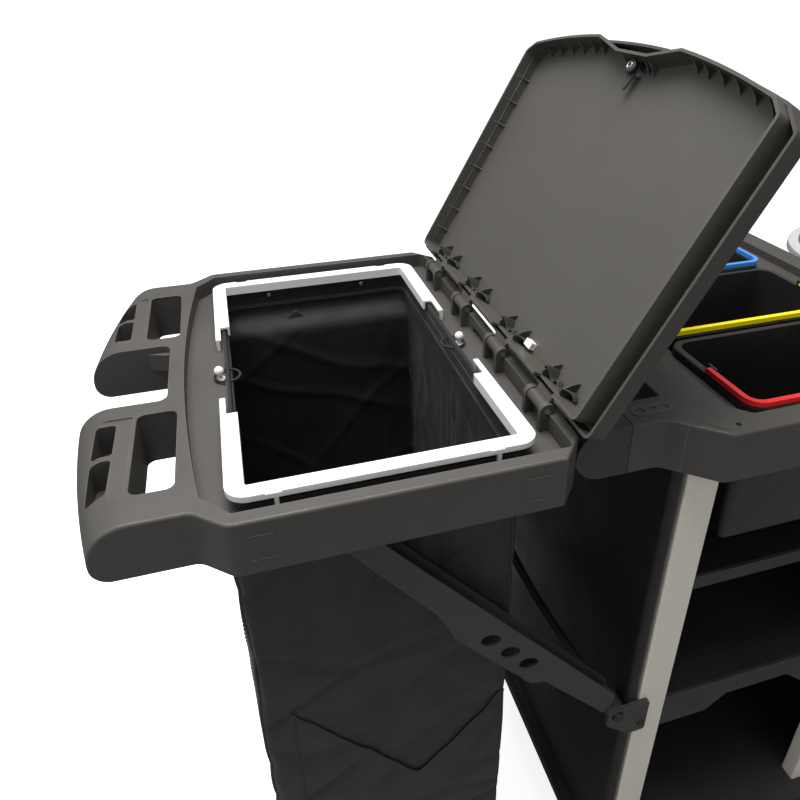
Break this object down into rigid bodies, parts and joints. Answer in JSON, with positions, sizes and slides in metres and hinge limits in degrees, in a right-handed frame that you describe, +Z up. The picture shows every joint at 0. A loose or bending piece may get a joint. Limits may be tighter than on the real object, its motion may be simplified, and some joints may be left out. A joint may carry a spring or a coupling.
{
  "type": "housekeeping cart",
  "caption": "Housekeeping cart with a fold-down lidded bag platform on braces, open shelves, bins with swinging handles and a waste tub, on swivel casters.",
  "frame": {"origin": "middle of the footprint, on the floor", "axes": "+X along the cart from the bag platform to the waste tub, +Y across to the closed back, +Z up"},
  "size_m": [1.3432, 0.57, 1.303],
  "materials": {
    "black_plastic": "satin",
    "soft_black_plastic": "matte",
    "white_plastic": "semi-gloss",
    "aluminium": "satin",
    "bag_cloth": "coated",
    "elastic": "woven",
    "steel": "satin",
    "lock_chrome": "polished",
    "red_plastic": "gloss",
    "yellow_plastic": "gloss",
    "blue_plastic": "gloss",
    "grey_tub": "satin",
    "grey_tyre": "matte",
    "bumper_rubber": "matte",
    "badge_grey": "satin"
  },
  "bodies": {
    "cart": {"base_deck": "black_plastic", "edge_bumper": "bumper_rubber", "caster_plates": "steel", "post_near_left": "aluminium", "post_far_left": "aluminium", "post_near_right": "aluminium", "post_far_right": "aluminium", "end_panel_left": "soft_black_plastic", "end_panel_right": "soft_black_plastic", "back_panel": "soft_black_plastic", "shelf_upper": "black_plastic", "shelf_lower": "black_plastic", "top_frame": "black_plastic", "frame_arm_near": "black_plastic", "frame_arm_far": "black_plastic", "arm_badges": "badge_grey", "hatch_plates": "black_plastic", "hinge_cap_near": "black_plastic", "hinge_cap_far": "black_plastic", "fold_pins": "steel", "brace_bracket_near": "black_plastic", "brace_bracket_far": "black_plastic", "brace_pins": "steel"},
    "platform": {"platform_frame": "black_plastic", "brace_catches": "black_plastic", "bag_pegs": "white_plastic", "bag_loops": "elastic", "bag": "bag_cloth", "lid_hinge_pins": "steel"},
    "lid": {"lid_shell": "black_plastic", "lid_liner": "black_plastic", "lock_cylinder": "lock_chrome", "lid_clip": "white_plastic"},
    "lock_cam": {"lock_cam": "lock_chrome"},
    "ring_near": {"ring_near": "white_plastic"},
    "ring_far": {"ring_far": "white_plastic"},
    "brace": {"brace_arm_near": "black_plastic", "brace_arm_far": "black_plastic", "brace_crosspiece": "black_plastic"},
    "waste_tub": {"waste_tub": "grey_tub"},
    "bin_red": {"bin_red": "soft_black_plastic"},
    "bin_handle_red": {"bin_handle_red": "red_plastic"},
    "bin_yellow": {"bin_yellow": "soft_black_plastic"},
    "bin_handle_yellow": {"bin_handle_yellow": "yellow_plastic"},
    "bin_blue": {"bin_blue": "soft_black_plastic"},
    "bin_handle_blue": {"bin_handle_blue": "blue_plastic"},
    "fork_near_left": {"caster_fork_near_left": "steel", "caster_axle_near_left": "steel"},
    "wheel_near_left": {"caster_wheel_near_left": "grey_tyre"},
    "pedal_near_left": {"brake_pedal_near_left": "black_plastic"},
    "fork_far_left": {"caster_fork_far_left": "steel", "caster_axle_far_left": "steel"},
    "wheel_far_left": {"caster_wheel_far_left": "grey_tyre"},
    "pedal_far_left": {"brake_pedal_far_left": "black_plastic"},
    "fork_near_right": {"caster_fork_near_right": "steel", "caster_axle_near_right": "steel"},
    "wheel_near_right": {"caster_wheel_near_right": "grey_tyre"},
    "fork_far_right": {"caster_fork_far_right": "steel", "caster_axle_far_right": "steel"},
    "wheel_far_right": {"caster_wheel_far_right": "grey_tyre"}
  },
  "joints": [
    {"name": "platform_fold", "type": "hinge", "parent": "cart", "child": "platform", "pos_m": [-0.17542, 0, 0.956], "axis": [0, 1, 0], "range_deg": [-90, 0], "deforming": ["bag"]},
    {"name": "lid_hinge", "type": "hinge", "parent": "platform", "child": "lid", "pos_m": [-0.21842, 0, 0.9885], "axis": [0, 1, 0], "range_deg": [-119.1, 0]},
    {"name": "lock_turn", "type": "hinge", "parent": "lid", "child": "lock_cam", "pos_m": [-0.04373, 0, 1.27447], "axis": [0.866, 0, -0.5], "range_deg": [0, 90]},
    {"name": "ring_near_lift", "type": "hinge", "parent": "platform", "child": "ring_near", "pos_m": [-0.38592, -0.067, 0.975], "axis": [-1, 0, 0], "range_deg": [0, 70]},
    {"name": "ring_far_lift", "type": "hinge", "parent": "platform", "child": "ring_far", "pos_m": [-0.38592, 0.067, 0.975], "axis": [1, 0, 0], "range_deg": [0, 70]},
    {"name": "brace_swing", "type": "hinge", "parent": "cart", "child": "brace", "pos_m": [-0.10842, 0, 0.533], "axis": [0, 1, 0], "range_deg": [-130, 0]},
    {"name": "bin_red_lift", "type": "slide", "parent": "cart", "child": "bin_red", "axis": [0, 0, 1], "range_m": [0, 0.12]},
    {"name": "bin_red_handle_swing", "type": "hinge", "parent": "bin_red", "child": "bin_handle_red", "pos_m": [0.11858, -0.177, 0.9866], "axis": [-1, 0, 0], "range_deg": [0, 180]},
    {"name": "bin_yellow_lift", "type": "slide", "parent": "cart", "child": "bin_yellow", "axis": [0, 0, 1], "range_m": [0, 0.12]},
    {"name": "bin_yellow_handle_swing", "type": "hinge", "parent": "bin_yellow", "child": "bin_handle_yellow", "pos_m": [0.11858, -0.017, 0.9866], "axis": [-1, 0, 0], "range_deg": [0, 180]},
    {"name": "bin_blue_lift", "type": "slide", "parent": "cart", "child": "bin_blue", "axis": [0, 0, 1], "range_m": [0, 0.12]},
    {"name": "bin_blue_handle_swing", "type": "hinge", "parent": "bin_blue", "child": "bin_handle_blue", "pos_m": [0.11858, 0.143, 0.9866], "axis": [-1, 0, 0], "range_deg": [0, 180]},
    {"name": "waste_tub_lift", "type": "slide", "parent": "cart", "child": "waste_tub", "axis": [0, 0, 1], "range_m": [0, 0.3]},
    {"name": "swivel_near_left", "type": "hinge", "parent": "cart", "child": "fork_near_left", "pos_m": [-0.02642, -0.212, 0.16], "axis": [0, 0, 1], "continuous": true},
    {"name": "roll_near_left", "type": "hinge", "parent": "fork_near_left", "child": "wheel_near_left", "pos_m": [0.00858, -0.212, 0.0625], "axis": [0, 1, 0], "continuous": true},
    {"name": "brake_near_left", "type": "hinge", "parent": "fork_near_left", "child": "pedal_near_left", "pos_m": [0.03658, -0.212, 0.131], "axis": [0, 1, 0], "range_deg": [0, 12]},
    {"name": "swivel_far_left", "type": "hinge", "parent": "cart", "child": "fork_far_left", "pos_m": [-0.02642, 0.212, 0.16], "axis": [0, 0, 1], "continuous": true},
    {"name": "roll_far_left", "type": "hinge", "parent": "fork_far_left", "child": "wheel_far_left", "pos_m": [0.00858, 0.212, 0.0625], "axis": [0, 1, 0], "continuous": true},
    {"name": "brake_far_left", "type": "hinge", "parent": "fork_far_left", "child": "pedal_far_left", "pos_m": [0.03658, 0.212, 0.131], "axis": [0, 1, 0], "range_deg": [0, 12]},
    {"name": "swivel_near_right", "type": "hinge", "parent": "cart", "child": "fork_near_right", "pos_m": [0.57158, -0.212, 0.16], "axis": [0, 0, 1], "continuous": true},
    {"name": "roll_near_right", "type": "hinge", "parent": "fork_near_right", "child": "wheel_near_right", "pos_m": [0.60658, -0.212, 0.0625], "axis": [0, 1, 0], "continuous": true},
    {"name": "swivel_far_right", "type": "hinge", "parent": "cart", "child": "fork_far_right", "pos_m": [0.57158, 0.212, 0.16], "axis": [0, 0, 1], "continuous": true},
    {"name": "roll_far_right", "type": "hinge", "parent": "fork_far_right", "child": "wheel_far_right", "pos_m": [0.60658, 0.212, 0.0625], "axis": [0, 1, 0], "continuous": true}
  ],
  "couplings": [
    {"joint": "brace_swing", "follows": "platform_fold", "ratio": 1.4389}
  ]
}
